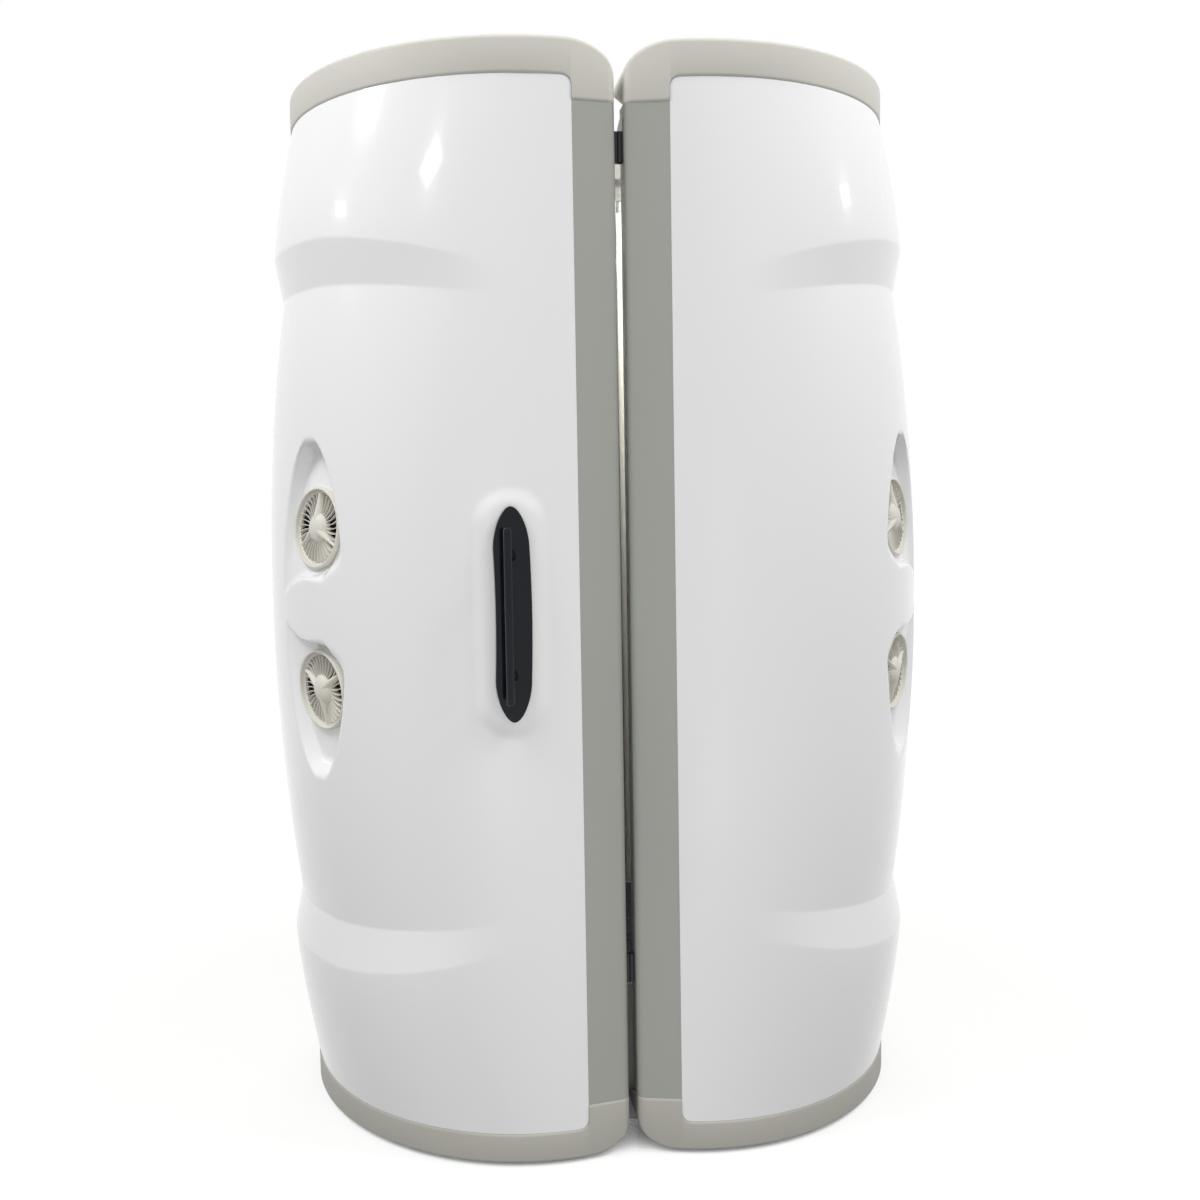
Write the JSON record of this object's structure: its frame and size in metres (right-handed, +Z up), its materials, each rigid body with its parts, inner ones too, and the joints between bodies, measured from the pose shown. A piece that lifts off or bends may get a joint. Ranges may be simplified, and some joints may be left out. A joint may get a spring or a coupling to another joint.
{
  "type": "vertical tanning booth",
  "caption": "Stand-up tanning booth: two moulded barrel halves round a platform; the left half is a door on rear hinges, with vaned air vents, a bar handle and lamps behind clear screens.",
  "frame": {"origin": "on the floor at the centre of the round platform", "axes": "+Z up, -Y out of the front seam, +X towards the fixed half, the door half on -X"},
  "size_m": [1.5024, 1.3393, 2.26],
  "materials": {
    "gloss_white": "gloss moulded skin",
    "warm_grey": "satin",
    "pan_grey": "satin",
    "post_grey": "satin powder coat",
    "frame_grey": "satin",
    "mirror_sheet": "polished reflector sheet",
    "lamp_glass": "white coated tube",
    "clear_acrylic": "clear gloss",
    "vent_cream": "satin",
    "black_plastic": "matte",
    "handle_dark": "semi-gloss",
    "platform_grey": "satin",
    "mat_rubber": "matte",
    "hinge_steel": "brushed",
    "start_green": "semi-gloss",
    "stop_red": "semi-gloss"
  },
  "bodies": {
    "booth": {"fixed_front_shell": "gloss_white", "fixed_rear_shell": "gloss_white", "fixed_top_cap": "warm_grey", "fixed_base_pan": "pan_grey", "fixed_front_post": "post_grey", "fixed_rear_post": "post_grey", "fixed_frame": "frame_grey", "fixed_reflector": "mirror_sheet", "fixed_lamp_bank": "lamp_glass", "fixed_acrylic_screen": "clear_acrylic", "fixed_ballast_box": "frame_grey", "fixed_upper_vent_bezel": "vent_cream", "fixed_upper_vent_grille": "vent_cream", "fixed_upper_vent_fan_frame": "black_plastic", "fixed_lower_vent_bezel": "vent_cream", "fixed_lower_vent_grille": "vent_cream", "fixed_lower_vent_fan_frame": "black_plastic", "lower_hinge_fixed_leaf": "hinge_steel", "lower_hinge_pin": "hinge_steel", "upper_hinge_fixed_leaf": "hinge_steel", "upper_hinge_pin": "hinge_steel", "top_catch_magnet": "black_plastic", "bottom_catch_magnet": "black_plastic", "floor_platform": "platform_grey", "floor_mat": "mat_rubber", "rear_glide_foot": "black_plastic", "front_glide_foot": "black_plastic", "control_console": "warm_grey", "supply_gland": "black_plastic"},
    "door": {"door_front_shell": "gloss_white", "door_rear_shell": "gloss_white", "door_top_cap": "warm_grey", "door_base_pan": "pan_grey", "door_front_post": "post_grey", "door_rear_post": "post_grey", "door_frame": "frame_grey", "door_reflector": "mirror_sheet", "door_lamp_bank": "lamp_glass", "door_acrylic_screen": "clear_acrylic", "door_ballast_box": "frame_grey", "door_upper_vent_bezel": "vent_cream", "door_upper_vent_grille": "vent_cream", "door_upper_vent_fan_frame": "black_plastic", "door_lower_vent_bezel": "vent_cream", "door_lower_vent_grille": "vent_cream", "door_lower_vent_fan_frame": "black_plastic", "handle_plate": "handle_dark", "handle_bar": "handle_dark", "lower_hinge_door_leaf": "hinge_steel", "upper_hinge_door_leaf": "hinge_steel", "top_catch_strike": "vent_cream", "bottom_catch_strike": "vent_cream"},
    "fixed_upper_fan": {"fixed_upper_vent_fan_rotor": "black_plastic"},
    "fixed_lower_fan": {"fixed_lower_vent_fan_rotor": "black_plastic"},
    "door_upper_fan": {"door_upper_vent_fan_rotor": "black_plastic"},
    "door_lower_fan": {"door_lower_vent_fan_rotor": "black_plastic"},
    "start_push": {"start_button": "start_green"},
    "stop_push": {"stop_button": "stop_red"}
  },
  "joints": [
    {"name": "door_swing", "type": "hinge", "parent": "booth", "child": "door", "pos_m": [0, 0.58765, 1.13], "axis": [0, 0, -1], "range_deg": [0, 90]},
    {"name": "fixed_upper_fan_spin", "type": "hinge", "parent": "booth", "child": "fixed_upper_fan", "pos_m": [0.61824, -0.3816, 1.308], "axis": [0.8166, -0.5718, 0.0785], "continuous": true},
    {"name": "fixed_lower_fan_spin", "type": "hinge", "parent": "booth", "child": "fixed_lower_fan", "pos_m": [0.61824, -0.3816, 0.968], "axis": [0.8166, -0.5718, -0.0785], "continuous": true},
    {"name": "door_upper_fan_spin", "type": "hinge", "parent": "door", "child": "door_upper_fan", "pos_m": [-0.61824, -0.3816, 1.308], "axis": [-0.8166, -0.5718, 0.0785], "continuous": true},
    {"name": "door_lower_fan_spin", "type": "hinge", "parent": "door", "child": "door_lower_fan", "pos_m": [-0.61824, -0.3816, 0.968], "axis": [-0.8166, -0.5718, -0.0785], "continuous": true},
    {"name": "start_press", "type": "slide", "parent": "booth", "child": "start_push", "axis": [-0.2394, 0.9709, 0], "range_m": [0, 0.003], "stiffness_N_per_m": 500, "springref_m": -0.002},
    {"name": "stop_press", "type": "slide", "parent": "booth", "child": "stop_push", "axis": [-0.2394, 0.9709, 0], "range_m": [0, 0.003], "stiffness_N_per_m": 500, "springref_m": -0.002}
  ]
}
